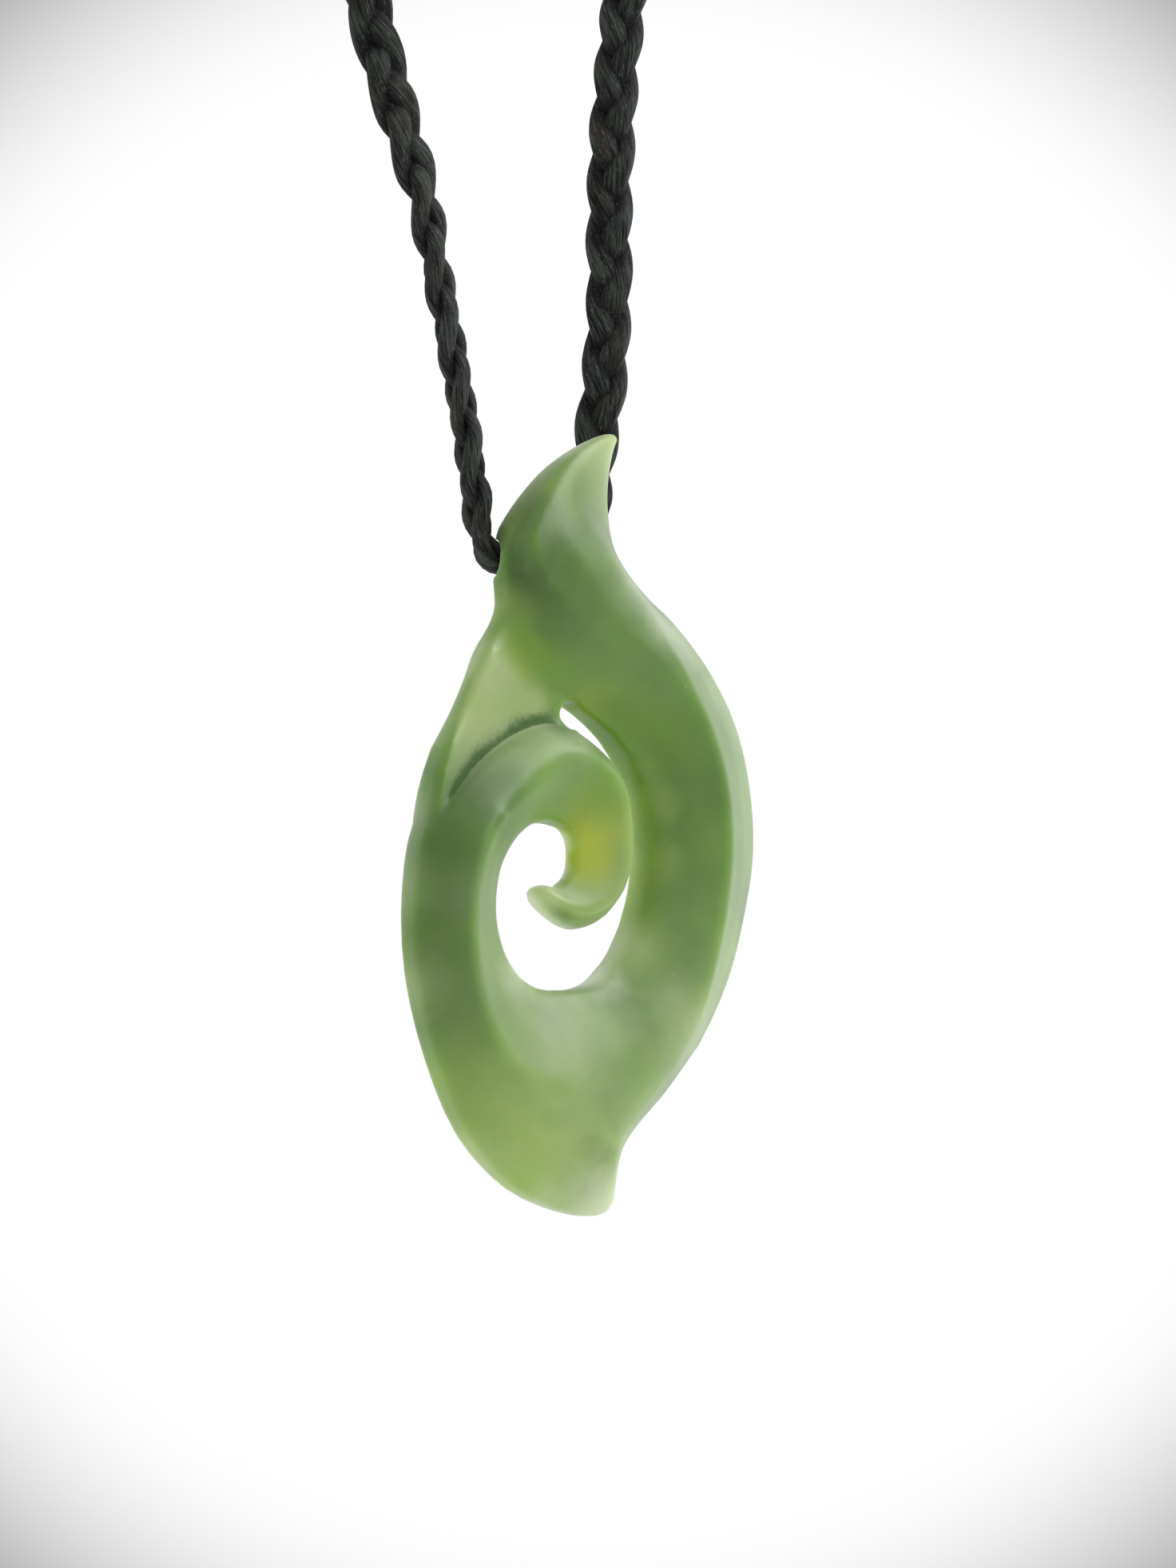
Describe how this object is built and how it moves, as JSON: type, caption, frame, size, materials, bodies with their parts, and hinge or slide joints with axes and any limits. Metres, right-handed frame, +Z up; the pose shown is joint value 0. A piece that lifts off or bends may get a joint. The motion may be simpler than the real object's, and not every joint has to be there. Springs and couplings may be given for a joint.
{
  "type": "koru pendant on a plaited cord",
  "caption": "Carved green stone spiral pendant with a cross bore in its neck, hung on a closed loop of flat three-strand plaited black cord.",
  "frame": {"origin": "underside of the sleeve at the nape, where the loop hangs on the neck", "axes": "+Z up, from the stone to the nape; +X to the right seen from the front; +Y towards the wearer's back"},
  "size_m": [0.0886, 0.0084, 0.267],
  "materials": {
    "stone": "satin polish, slightly translucent",
    "cord": "waxed yarn",
    "sleeve": "whipped thread"
  },
  "bodies": {
    "root": {"stone": "stone", "strand_a": "cord", "strand_b": "cord", "strand_c": "cord", "cord_join": "sleeve"}
  },
  "joints": []
}
